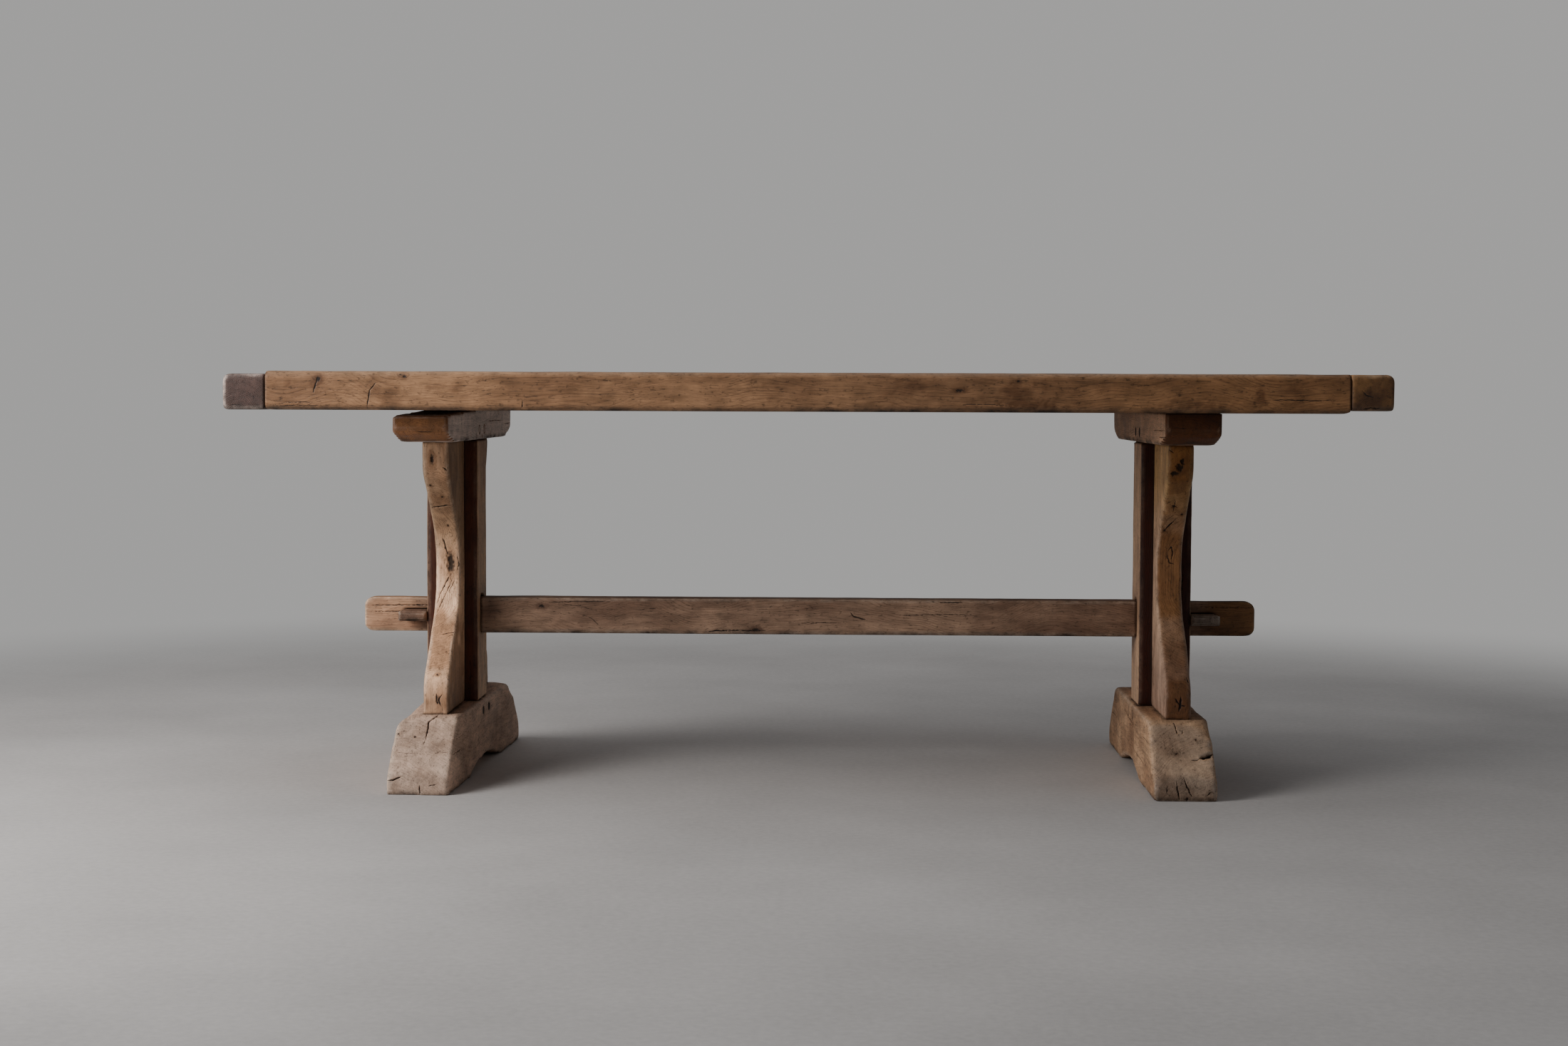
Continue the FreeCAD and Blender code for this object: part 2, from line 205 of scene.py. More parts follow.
def oak_group():
    """The node group that all the oak materials share."""
    tree = bpy.data.node_groups.new("oak", "ShaderNodeTree")
    for way, sockets in (("INPUT", oak_inputs), ("OUTPUT", oak_outputs)):
        for kind, names in sockets.items():
            for name in names:
                tree.interface.new_socket(name, in_out=way, socket_type=kind)
    given = tree.nodes.new("NodeGroupInput").outputs
    place = given["place"]
    moved = place_calc(tree, "ADD", place, given["shift"])

    def grained(along, size, detail=0.0, rough=0.5):
        """Noise that is drawn out along the grain."""
        return noise(tree, stretch(tree, moved, along), size, detail, rough)

    # The pith line bends slowly, and the rings ripple round it
    bends = noise(tree, stretch(tree, moved, 1.0, 0.3), 0.26, detail=1.0, colour=True)
    ripples = noise(tree, stretch(tree, moved, 0.3), 0.05, detail=2.0, colour=True)
    bent = place
    for shifts, reach in ((bends, 0.07), (ripples, 0.014)):
        either_way = place_calc(tree, "SUBTRACT", shifts, (0.5, 0.5, 0.5))
        pushed = scaled(tree, either_way, calc(tree, "MULTIPLY", given["figure"], reach))
        bent = place_calc(tree, "ADD", bent, pushed)
    along, across, up = parts_of(tree, bent)
    squares = calc(tree, "ADD", calc(tree, "POWER", across, 2.0), calc(tree, "POWER", up, 2.0))
    radius = calc(tree, "ADD", calc(tree, "SQRT", squares), attribute(tree, "swirl"))
    angle = calc(tree, "ARCTAN2", up, across)

    # Rings: a band of open, darker early wood at the start of each, of uneven width and strength
    uneven_inputs = {"W": radius, "Scale": 45.0, "Detail": 1.0}
    uneven = add(tree, "ShaderNodeTexNoise", uneven_inputs, noise_dimensions="1D")
    even_count = calc(tree, "DIVIDE", radius, calc(tree, "MULTIPLY", given["ring_mm"], MM))
    count = calc(tree, "MULTIPLY_ADD", uneven.outputs[0], ring_wander, even_count)
    within = calc(tree, "FRACT", count)
    early = calc(tree, "MAXIMUM", fade(tree, within, 0.0, 0.38, 1.0, 0.0), fade(tree, within, 0.9, 1.0))
    ring_number = calc(tree, "FLOOR", count)
    strength = add(tree, "ShaderNodeTexWhiteNoise", {"W": ring_number}, noise_dimensions="1D")
    patchy = grained(0.3, 0.04, detail=2.0)
    rings = calc(tree, "MULTIPLY", early, fade(tree, strength.outputs[0], 0.0, 1.0, 0.35, 1.0))
    rings = calc(tree, "MULTIPLY", rings, fade(tree, patchy, 0.3, 0.65, 0.25, 1.0))

    # Fibres, streaks, mottle and stains
    fibres = centred(tree, grained(0.035, 0.0011, detail=2.0))
    streaks = centred(tree, grained(0.06, 0.008, detail=3.0, rough=0.6))
    mottle = centred(tree, grained(0.6, 0.022, detail=4.0, rough=0.6))
    flecks = fade(tree, grained(0.5, 0.0045, detail=2.0, rough=0.6), 0.58, 0.7)
    stains = fade(tree, grained(0.45, 0.11, detail=4.0, rough=0.6), 0.36, 0.66)

    # Fine lines across the grain, left by the saw and the scraper
    drawn_out = place_calc(tree, "MULTIPLY", place, (1.0, 1.0, 0.045))
    lines = centred(tree, noise(tree, drawn_out, 0.0021, detail=3.0, rough=0.65))
    comb = calc(tree, "MULTIPLY", lines, given["comb"])

    # Pores lie mostly in the early wood, and rays are thin sheets that run out from the pith
    specks = fade(tree, grained(0.06, 0.0007), 0.6, 0.72)
    pores = calc(tree, "MULTIPLY", specks, calc(tree, "MULTIPLY_ADD", early, 0.75, 0.25))
    sheet_parts = ((along, 45.0), (angle, 150.0), (radius, 70.0))
    sheets = place_from(tree, *(calc(tree, "MULTIPLY", part, scale) for part, scale in sheet_parts))
    rays = fade(tree, noise(tree, sheets, 1.0, detail=1.0), 0.6, 0.7)

    # Colour
    lighter = ((streaks, 0.75), (fibres, 0.7), (mottle, 1.15), (rays, 0.16), (comb, 1.0))
    shade = weighted(tree, 1.0, lighter + ((flecks, -0.4), (pores, -0.35)))
    stained = calc(tree, "MULTIPLY_ADD", stains, given["stain"], attribute(tree, "stain"))
    stained = calc(tree, "MINIMUM", stained, most_stain)
    colour = blend(tree, stained, given["light"], given["deep"])
    ringed = tinted(tree, colour, early_wood_tint)
    colour = blend(tree, calc(tree, "MULTIPLY", rings, given["contrast"]), colour, ringed)
    colour = scaled(tree, colour, shade)
    end_grain = scaled(tree, colour, 0.45)
    colour = blend(tree, calc(tree, "MULTIPLY", given["end"], 0.5), colour, end_grain)
    # Faces that look to the front or the back take the look's front factor: a finish of their own on some
    # pieces, and painted light and shade on the wings
    tint = blend(tree, given["facing"], white, given["front"])
    colour = tinted(tree, colour, tint)
    uneven_wear = fade(tree, noise(tree, moved, 0.012, detail=3.0, rough=0.7), 0.3, 0.7, 0.35, 1.0)
    wear = calc(tree, "MULTIPLY", attribute(tree, "wear"), uneven_wear)
    worn = blend(tree, 0.6, given["worn"], tinted(tree, given["worn"], tint))
    colour = blend(tree, wear, colour, scaled(tree, worn, shade))
    # Dirt and painted shade in joints and along low edges, uneven in patches
    uneven_grime_and_shade = fade(tree, noise(tree, moved, 0.03, detail=5.0, rough=0.65), 0.3, 0.7, 0.3, 1.25)
    grime_and_shade = calc(tree, "MINIMUM", calc(tree, "MULTIPLY", attribute(tree, "grime_and_shade"), uneven_grime_and_shade), 1.0)
    colour = blend(tree, grime_and_shade, colour, given["grime_and_shade"])
    # Cracks are painted nearly black inside as shade, and knots are darkened
    crack_shade_and_knots = attribute(tree, "dark")
    colour = blend(tree, crack_shade_and_knots, colour, crack_shade_and_knot_colour)

    # Roughness, and height in millimetres
    duller = ((fibres, 0.25), (mottle, 0.35), (given["end"], 0.1), (crack_shade_and_knots, 0.25), (grime_and_shade, 0.15))
    gloss = weighted(tree, given["roughness"], duller + ((wear, -0.12),))
    raised = ((fibres, 0.22), (streaks, 0.35), (mottle, 0.45), (comb, 0.3))
    height = weighted(tree, 0.0, raised + ((rings, -0.22), (pores, -0.2)))

    made = add(tree, "NodeGroupOutput", {"colour": colour, "roughness": gloss, "height": height})
    made.is_active_output = True
    return tree


oak_tree = oak_group()
grain_orders = {"X": (0, 1, 2), "Y": (1, 0, 2), "Z": (2, 0, 1)}


def rgba(colour):
    return (*colour, 1.0)


# Along an axis, from low to high in metres, the colour goes from one factor to the other
Tone = namedtuple("Tone", "axis low high low_factor high_factor")


def oak(name, grain, pith, look, seed, tones=()):
    """An oak material. Grain is the axis that it runs along, and pith the two places across it where the
    rings have their middle."""
    material = bpy.data.materials.new(name)
    tree = emptied(material)
    coordinates = add(tree, "ShaderNodeTexCoord").outputs
    lengthwise, first_across, second_across = grain_orders[grain]
    spots = parts_of(tree, coordinates["Object"])
    faces = parts_of(tree, coordinates["Normal"])
    first_apart = calc(tree, "SUBTRACT", spots[first_across], pith[0])
    second_apart = calc(tree, "SUBTRACT", spots[second_across], pith[1])
    draw = random.Random(seed)
    given = {key: rgba(getattr(look, key)) for key in look_colours}
    given |= {key: getattr(look, key) for key in look_numbers}
    given |= {
        "place": place_from(tree, spots[lengthwise], first_apart, second_apart),
        "shift": [draw.uniform(-5.0, 5.0) for _ in range(3)],
        "end": fade(tree, calc(tree, "ABSOLUTE", faces[lengthwise]), 0.55, 0.9),
        "facing": fade(tree, calc(tree, "ABSOLUTE", faces[1]), *look.turn),
        "grime_and_shade": rgba(dirt_and_shade),
    }
    wood = add(tree, "ShaderNodeGroup", given, node_tree=oak_tree).outputs
    colour = wood["colour"]
    for tone in tones:
        share = fade(tree, spots["XYZ".index(tone.axis)], tone.low, tone.high)
        tint = blend(tree, share, rgba(tone.low_factor), rgba(tone.high_factor))
        colour = tinted(tree, colour, tint)
    relief = add(tree, "ShaderNodeBump", {"Strength": 1.0, "Distance": MM, "Height": wood["height"]})
    shader = add(tree, "ShaderNodeBsdfPrincipled", {
        "Base Color": colour,
        "Roughness": wood["roughness"],
        "Normal": relief.outputs[0],
        "Specular IOR Level": look.specular,
    })
    add(tree, "ShaderNodeOutputMaterial", {"Surface": shader.outputs[0]})
    return material


# Colours are light and deep wood, worn arrises, and a factor for faces that look to the front or the back.
# Turn says how squarely a face has to look there: the factor comes in between its two numbers

Look = namedtuple("Look", (*look_colours, *look_numbers, "specular", "turn"), defaults=((0.5, 0.85),))
# The colour of dirt and painted shade in joints and along low edges
dirt_and_shade = (0.035, 0.024, 0.018)
even = (1.0, 1.0, 1.0)
looks = {
    "top": Look(
        (0.4, 0.214, 0.109), (0.165, 0.077, 0.036), (0.38, 0.218, 0.12), even,
        3.6, 0.55, 1.6, 0.68, 0.12, 0.5, 0.35),
    # The left cleat's pale worn colour is both wear on its arrises and a painted highlight of glints
    "cleat_left": Look(
        (0.16, 0.085, 0.065), (0.056, 0.029, 0.024), (0.58, 0.46, 0.4), even,
        2.6, 0.55, 0.8, 0.8, 0.1, 0.42, 0.5),
    "cleat_right": Look(
        (0.38, 0.185, 0.064), (0.14, 0.06, 0.021), (0.46, 0.29, 0.16), even,
        2.6, 0.45, 0.8, 1.0, 0.1, 0.42, 0.5),
    "cap_left": Look(
        (0.9, 0.76, 0.665), (0.64, 0.53, 0.465), (0.6, 0.49, 0.43), (0.38, 0.195, 0.084),
        3.0, 0.5, 1.0, 0.7, 0.35, 0.65, 0.3, (0.1, 0.2)),
    "cap_right": Look(
        (0.64, 0.385, 0.235), (0.36, 0.2, 0.12), (0.62, 0.43, 0.29), (0.22, 0.118, 0.045),
        3.0, 0.5, 1.0, 0.8, 0.25, 0.6, 0.3, (0.1, 0.2)),
    "post_left": Look(
        (0.7, 0.45, 0.26), (0.39, 0.228, 0.135), (0.42, 0.27, 0.18), (0.138, 0.058, 0.035),
        3.2, 0.5, 1.0, 0.9, 0.3, 0.55, 0.3),
    "post_right": Look(
        (0.7, 0.44, 0.265), (0.39, 0.225, 0.138), (0.34, 0.21, 0.135), (0.07, 0.023, 0.015),
        3.2, 0.5, 1.0, 0.9, 0.3, 0.55, 0.3),
    # The wings' front factors are painted light and shade: the left wing's fronts are lighter as lit faces
    # beside shaded sides, and the right wing's fronts are darker beside sides lit from the left
    "wing_left": Look(
        (0.52, 0.335, 0.205), (0.27, 0.15, 0.082), (0.5, 0.35, 0.245), (1.38, 1.36, 1.4),
        4.2, 0.55, 1.6, 0.8, 0.28, 0.6, 0.28),
    "wing_right": Look(
        (0.8, 0.53, 0.355), (0.5, 0.3, 0.19), (0.56, 0.37, 0.25), (0.44, 0.315, 0.19),
        4.2, 0.55, 1.6, 0.9, 0.28, 0.58, 0.28),
    "foot_left": Look(
        (0.72, 0.5, 0.375), (0.42, 0.275, 0.195), (0.66, 0.51, 0.4), (1.14, 1.18, 1.22),
        4.6, 0.3, 1.2, 0.75, 0.42, 0.72, 0.2),
    "foot_right": Look(
        (0.65, 0.41, 0.245), (0.32, 0.18, 0.102), (0.54, 0.39, 0.28), (0.84, 0.98, 1.2),
        4.6, 0.35, 1.2, 0.9, 0.5, 0.72, 0.2),
    "stretcher": Look(
        (0.42, 0.265, 0.175), (0.18, 0.1, 0.064), (0.5, 0.37, 0.28), even,
        3.4, 0.55, 1.8, 0.9, 0.12, 0.55, 0.32),
    "wedge_left": Look(
        (0.25, 0.153, 0.11), (0.108, 0.061, 0.04), (0.46, 0.35, 0.27), even,
        2.6, 0.5, 0.8, 0.9, 0.3, 0.65, 0.25),
    "wedge_right": Look(
        (0.52, 0.42, 0.34), (0.29, 0.22, 0.17), (0.66, 0.58, 0.5), even,
        2.6, 0.4, 0.8, 0.8, 0.25, 0.6, 0.3),
    "peg": Look(
        (0.06, 0.032, 0.022), (0.03, 0.016, 0.012), (0.12, 0.075, 0.05), even,
        2.2, 0.5, 0.6, 0.9, 0.0, 0.6, 0.3),
    "inner": Look(
        (0.4, 0.26, 0.17), (0.22, 0.135, 0.085), (0.44, 0.31, 0.22), even,
        3.0, 0.5, 0.8, 0.8, 0.0, 0.65, 0.25),
}

# The planks came from different trees. The left wings are painted lighter low down, as lit, and darker
# higher up, as shadow of the top; the left front wing is darker again just above its foot. The right front
# wing is darker low down, and darker and yellower at its head. The stretcher's left tenon is painted
# lighter, as lit, and its right tenon darker, as shadow of the right trestle
tones_of = {
    "top_plank_front": (
        Tone("X", -0.6, 0.0, (1.04, 1.05, 1.05), (0.91, 0.92, 0.92)),
        Tone("X", 0.2, 0.8, even, (1.02, 0.95, 0.82)),
    ),
    "top_plank_mid_front": (Tone("X", -0.9, 0.9, (0.86, 0.84, 0.82), (0.92, 0.9, 0.86)),),
    "top_plank_mid_back": (Tone("X", -0.9, 0.9, (1.06, 1.06, 1.06), (1.0, 0.96, 0.9)),),
    "top_plank_back": (Tone("X", -0.9, 0.9, (0.94, 0.92, 0.86), (0.96, 0.96, 0.96)),),
    # Painted light low down and painted shadow of the top higher up, then darker again just above the foot
    "wing_front_left": (
        Tone("Z", 0.34, 0.48, (1.88, 1.9, 1.92), (0.82, 0.81, 0.77)),
        Tone("Z", 0.14, 0.24, (0.61, 0.61, 0.61), (1.12, 1.12, 1.12)),
    ),
    # Painted light low down and painted shadow of the top higher up
    "wing_back_left": (Tone("Z", 0.3, 0.44, (1.2, 1.18, 1.16), (0.84, 0.82, 0.78)),),
    "wing_front_right": (
        Tone("Z", 0.2, 0.34, (0.62, 0.6, 0.63), even),
        Tone("Z", 0.44, 0.58, even, (0.82, 0.76, 0.52)),
    ),
    # Painted light on the left tenon and painted shadow of the right trestle on the right one
    "stretcher": (
        Tone("X", -0.8, -0.74, (2.0, 1.98, 1.85), even),
        Tone("X", 0.74, 0.8, even, (0.61, 0.46, 0.27)),
    ),
}


# Wear: a piece is a finely divided copy of its CAD node with its arrises rubbed down

hash_factors = (73856093, 19349663, 83492791)
seed_factor = 2654435
mix_factor = 1274126177


def value_noise(points, size, seed):
    """Smooth noise from -1 to 1 at each point, with bumps about size apart."""
    cell = points / size + seed * 7.31
    corner = np.floor(cell).astype(np.int64)
    part = cell - corner
    part = part * part * (3.0 - 2.0 * part)
    total = np.zeros(len(points))
    for step in itertools.product((0, 1), repeat=3):
        mixed = np.bitwise_xor.reduce((corner + step) * hash_factors, axis=1) ^ (seed * seed_factor)
        mixed = ((mixed ^ (mixed >> 13)) * mix_factor) & 0xFFFFFFFF
        value = ((mixed ^ (mixed >> 16)) & 0xFFFF) / 32767.5 - 1.0
        total += value * np.prod(np.where(step, part, 1.0 - part), axis=1)
    return total


def smooth(value, low, high):
    """0 below low, 1 above high and smooth between them."""
    share = np.clip((value - low) / (high - low), 0.0, 1.0)
    return share * share * (3.0 - 2.0 * share)


def points_of(mesh, what="co"):
    """The mesh's points or their normals as an array."""
    source = mesh.vertices if what == "co" else mesh.vertex_normals
    found = np.empty(len(mesh.vertices) * 3, np.float32)
    source.foreach_get(what, found)
    return found.reshape(-1, 3).astype(float)


def put_points(mesh, points):
    mesh.vertices.foreach_set("co", points.astype(np.float32).ravel())
    mesh.update()


def edge_ends(mesh):
    """The two points of each edge, as two arrays."""
    found = np.empty(len(mesh.edges) * 2, np.int32)
    mesh.edges.foreach_get("vertices", found)
    return found.reshape(-1, 2).T


def put_numbers(mesh, name, numbers):
    layer = mesh.attributes.new(name, "FLOAT", "POINT")
    layer.data.foreach_set("value", numbers.astype(np.float32))


def voxel_copy(node, name, voxel):
    """A new object with the node's shape in small even faces."""
    shape = bmesh.new()
    shape.from_mesh(nodes[node].data)
    bmesh.ops.remove_doubles(shape, verts=shape.verts, dist=0.01 * MM)
    mesh = bpy.data.meshes.new(name)
    shape.to_mesh(mesh)
    shape.free()
    piece = placed(name, mesh)
    remesh = piece.modifiers.new("even_faces", "REMESH")
    remesh.mode = "VOXEL"
    remesh.voxel_size = voxel
    ready = piece.evaluated_get(bpy.context.evaluated_depsgraph_get())
    piece.data = bpy.data.meshes.new_from_object(ready)
    piece.modifiers.clear()
    piece.data.name = name
    piece.data.materials.clear()
    bpy.data.meshes.remove(mesh)
    return piece


def search_tree_of(names):
    """A search tree of the surfaces of some CAD nodes."""
    points = []
    faces = []
    for name in names:
        start = len(points)
        points += [corner.co.copy() for corner in nodes[name].data.vertices]
        faces += [[start + i for i in face.vertices] for face in nodes[name].data.polygons]
    return BVHTree.FromPolygons(points, faces)


def room_round(piece, node, reach):
    """How far each point of the piece is from the other CAD nodes, up to reach."""
    low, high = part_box(node)
    close = []
    for other in nodes:
        other_low, other_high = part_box(other)
        apart = max(max(other_low[i] - high[i], low[i] - other_high[i]) for i in range(3))
        if other != node and apart <= reach:
            close.append(other)
    search = search_tree_of(close)
    room = np.full(len(piece.data.vertices), reach)
    for i, corner in enumerate(piece.data.vertices):
        distance = search.find_nearest(corner.co, reach)[3]
        if distance is not None:
            room[i] = distance
    return room


relax_step = 0.6


def relaxed(mesh, points, weight, rounds):
    """The points drawn towards their neighbours a number of times, each by its own weight."""
    one, two = edge_ends(mesh)
    links = np.bincount(np.concatenate((one, two)), minlength=len(points)).astype(float)[:, None]
    for _ in range(rounds):
        total = np.zeros_like(points)
        for axis in range(3):
            total[:, axis] += np.bincount(one, points[two, axis], minlength=len(points))
            total[:, axis] += np.bincount(two, points[one, axis], minlength=len(points))
        points = points + weight[:, None] * relax_step * (total / links - points)
    return points


def freedom(room):
    """0 where a piece is against another and 1 where nothing is near it."""
    return smooth(room, 1.0 * MM, 7.0 * MM)


# Corners of the feet that are worn round: place in mm, reach in mm and rounds of wear
worn_corners = {
    "foot_left": (((-621.0, 268.0, 133.0), 40.0, 60),),
    "foot_right": (((748.0, -268.0, 133.0), 44.0, 50), ((748.0, 268.0, 133.0), 40.0, 90)),
}


def rub_corners(piece, node, room):
    """Wears the named corners of a piece down to broad rounds."""
    for place, reach, rounds in worn_corners.get(node, ()):
        mesh = piece.data
        points = points_of(mesh)
        distance = np.linalg.norm(points - np.array(place) * MM, axis=1)
        weight = (1.0 - smooth(distance, 0.3 * reach * MM, reach * MM)) * freedom(room)
        put_points(mesh, relaxed(mesh, points, weight, rounds))


# How far faces wander: sawn ones, and hewn ones by the start of the piece's name, in mm
sawn_wander = 0.45
hewn_wander = {"wing": 1.3, "foot": 1.3, "cap": 0.9, "wedge": 0.9}
# How dark joints get: dirt and painted shade
joint_grime_and_shade = 0.75


def rub_arrises(piece, node, rounds, room, seed, chip_depth, grime_and_shade_reach):
    """Rounds free arrises unevenly and chips a few. Faces wander, and joints and low edges are darkened, as
    dirt and painted shade.
    """
    mesh = piece.data
    start = points_of(mesh)
    normals = points_of(mesh, "vector")
    free = freedom(room)
    uneven = 0.6 + 0.3 * value_noise(start, 0.07, seed) + 0.3 * value_noise(start, 0.02, seed + 1)
    weight = (0.15 + 0.85 * free) * np.clip(uneven, 0.15, 1.0)
    points = relaxed(mesh, start, weight, rounds)
    rubbed = np.abs(((start - points) * normals).sum(axis=1))
    chips = smooth(rubbed, 0.3 * MM, 1.2 * MM) * smooth(value_noise(start, 0.012, seed + 2), 0.45, 0.8)
    points -= normals * (chips * free * chip_depth)[:, None]
    wander = hewn_wander.get(node.split("_")[0], sawn_wander) * MM
    drift = wander * value_noise(start, 0.07, seed + 3) + 0.4 * wander * value_noise(start, 0.025, seed + 4)
    above = start[:, 2] - start[:, 2].min()
    points += normals * (drift * free * smooth(above, 0.5 * MM, 8.0 * MM))[:, None]
    put_points(mesh, points)
    put_numbers(mesh, "wear", smooth(rubbed, 0.15 * MM, 1.0 * MM) * free * (1.0 - 0.5 * chips))
    # Joints and low edges are darkened: dirt and painted shade
    in_joints = joint_grime_and_shade * (1.0 - smooth(room, 0.0, grime_and_shade_reach))
    low_edge = 1.0 - smooth(above, 2.0 * MM, 12.0 * MM)
    low_edge *= np.clip(0.65 + 0.4 * value_noise(start, 0.03, seed + 5), 0.2, 0.9)
    put_numbers(mesh, "grime_and_shade", np.maximum(in_joints, low_edge))


# Marks: cracks and knots, pressed into a piece where its faces are divided finely enough to hold them

Crack = namedtuple("Crack", "route width depth")
Knot = namedtuple("Knot", "centre across along depth")
Stain = namedtuple("Stain", "centre across along strength")
crack_step = 3.5 * MM
widest_crack = 3.0 * MM
finest_edge = 1.2 * MM
Course = namedtuple("Course", "points widths depth low high")
cull_room = 12 * MM


def rough_course(crack, step, draw):
    """A crack's route in short steps that stray to either side, with its width at each one."""
    points = [crack.route[0]]
    for here, there in itertools.pairwise(crack.route):
        parts = max(1, round((there - here).length / step))
        for i in range(1, parts + 1):
            stray = Vector([draw.uniform(-0.18, 0.18) * step for _ in range(3)])
            points.append(here.lerp(there, i / parts) + stray)
    last = len(points) - 1
    widths = []
    for i in range(len(points)):
        taper = min(1.0, 4.0 * min(i, last - i) / last + 0.15)
        widths.append(crack.width * taper * draw.uniform(0.6, 1.2))
    points = np.array(points)
    low, high = points.min(axis=0) - cull_room, points.max(axis=0) + cull_room
    return Course(points, widths, crack.depth, low, high)


def crack_depths(points, courses):
    """How deep the cracks are at each point, how dark their painted shade makes them, and how far the
    nearest one is.
    """
    deep = np.zeros(len(points))
    dark = np.zeros(len(points))
    nearest = np.full(len(points), cull_room)
    for course in courses:
        inside = np.flatnonzero(((points > course.low) & (points < course.high)).all(axis=1))
        part = points[inside]
        for i in range(len(course.points) - 1):
            start, end = course.points[i], course.points[i + 1]
            run = end - start
            share = np.clip(((part - start) @ run) / max(run @ run, 1e-12), 0.0, 1.0)
            distance = np.linalg.norm(part - start - share[:, None] * run, axis=1)
            width = course.widths[i] + share * (course.widths[i + 1] - course.widths[i])
            profile = np.clip(1.0 - distance / width, 0.0, 1.0)
            cut = course.depth * profile**0.7 * np.minimum(1.0, width / (1.0 * MM))
            deep[inside] = np.maximum(deep[inside], cut)
            dark[inside] = np.maximum(dark[inside], smooth(profile, 0.05, 0.6))
            nearest[inside] = np.minimum(nearest[inside], distance)
    return deep, dark, nearest


def knot_size(points, knot, along):
    """How far out from a knot's middle each point is: 1 is the knot's edge."""
    apart = points - np.array(knot.centre)
    lengthwise = apart @ along
    crosswise = np.linalg.norm(apart - lengthwise[:, None] * along, axis=1)
    return np.sqrt((crosswise / knot.across) ** 2 + (lengthwise / knot.along) ** 2)


def divide_near(mesh, room_to_marks, finest):
    """Divides the faces at the marks until their edges are shorter than finest."""
    for _ in range(4):
        points = points_of(mesh)
        one, two = edge_ends(mesh)
        near = room_to_marks(points) < 0.0
        long = np.linalg.norm(points[one] - points[two], axis=1) > finest
        chosen = np.flatnonzero((near[one] | near[two]) & long)
        if len(chosen) == 0:
            break
        shape = bmesh.new()
        shape.from_mesh(mesh)
        shape.edges.ensure_lookup_table()
        edges = [shape.edges[i] for i in chosen]
        bmesh.ops.subdivide_edges(shape, edges=edges, cuts=1, use_grid_fill=True)
        shape.to_mesh(mesh)
        shape.free()
    mesh.polygons.foreach_set("use_smooth", [True] * len(mesh.polygons))


def press_marks(piece, cracks, knots, stains, grain, seed):
    """Opens cracks in a piece and paints their insides dark as shade, sinks and darkens its knots, turns the
    grain round them, and stains it.
    """
    mesh = piece.data
    draw = random.Random(seed)
    courses = [rough_course(crack, crack_step, draw) for crack in cracks]
    along = np.array([float(axis == grain) for axis in "XYZ"])

    def room_to_marks(points):
        room = crack_depths(points, courses)[2] - widest_crack
        for knot in knots:
            room = np.minimum(room, (knot_size(points, knot, along) - 1.2) * knot.across)
        return room

    divide_near(mesh, room_to_marks, finest_edge)
    points = points_of(mesh)
    normals = points_of(mesh, "vector")
    deep, dark, _ = crack_depths(points, courses)
    swirl = np.zeros(len(points))
    stained = np.zeros(len(points))
    for number, stain in enumerate(stains):
        ragged = 0.7 * value_noise(points, 0.8 * stain.across, seed + 70 + number)
        ragged += 0.7 * value_noise(points, 0.3 * stain.across, seed + 90 + number)
        size = knot_size(points, stain, along) + ragged
        stained = np.maximum(stained, 0.75 * stain.strength * (1.0 - smooth(size, 0.0, 1.5)))
    for number, knot in enumerate(knots):
        ragged = 0.35 * value_noise(points, 0.4 * knot.across, seed + number)
        ragged += 0.25 * value_noise(points, 1.3 * knot.across, seed + 50 + number)
        size = knot_size(points, knot, along) + ragged
        dark = np.maximum(dark, 0.92 * (1.0 - smooth(size, 0.35, 1.05)))
        deep = np.maximum(deep, knot.depth * (1.0 - smooth(size, 0.2, 1.0)))
        swirl += 2.2 * knot.across * np.exp(-((size / 2.2) ** 2))
        stained = np.maximum(stained, 0.7 * (1.0 - smooth(size, 0.8, 2.4)))
    put_points(mesh, points - normals * deep[:, None])
    put_numbers(mesh, "dark", dark)
    put_numbers(mesh, "swirl", swirl)
    put_numbers(mesh, "stain", stained)


# For each side of a piece: the way in, and the axes across it and up it
sides = {
    "front": (Vector((0, 1, 0)), 0, 2),
    "back": (Vector((0, -1, 0)), 0, 2),
    "left": (Vector((1, 0, 0)), 1, 2),
    "right": (Vector((-1, 0, 0)), 1, 2),
    "top": (Vector((0, 0, -1)), 0, 1),
    "under": (Vector((0, 0, 1)), 0, 1),
}


# By the start of a piece's name: its axis, and its tenons' reach at the low and the high end, in mm
hidden_tenons = {"wing": (2, 22.0, 22.0), "top_plank": (0, 46.0, 46.0), "centre_post": (2, 80.0, 44.0)}
left_foot_turn = math.radians(-2.4)
turn_centre = Vector((-0.69, 0.0, 0.0))
aim_distance = 2.0


def bare_box(node):
    """The node's box at right angles to its faces, without the tenons that are hidden in other pieces."""
    low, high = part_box(node)
    for start, (axis, low_tenon, high_tenon) in hidden_tenons.items():
        if node.startswith(start):
            low[axis] += low_tenon * MM
            high[axis] -= high_tenon * MM
    if node == "foot_left":
        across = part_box("foot_right")
        half = (across[1].x - across[0].x) / 2
        low.x, high.x = turn_centre.x - half, turn_centre.x + half
        low.y, high.y = across[0].y, across[1].y
    return low, high


def side_sizes(node, side):
    """The width and the height of one side of a node."""
    low, high = bare_box(node)
    _, axis, up_axis = sides[side]
    return high[axis] - low[axis], high[up_axis] - low[up_axis]


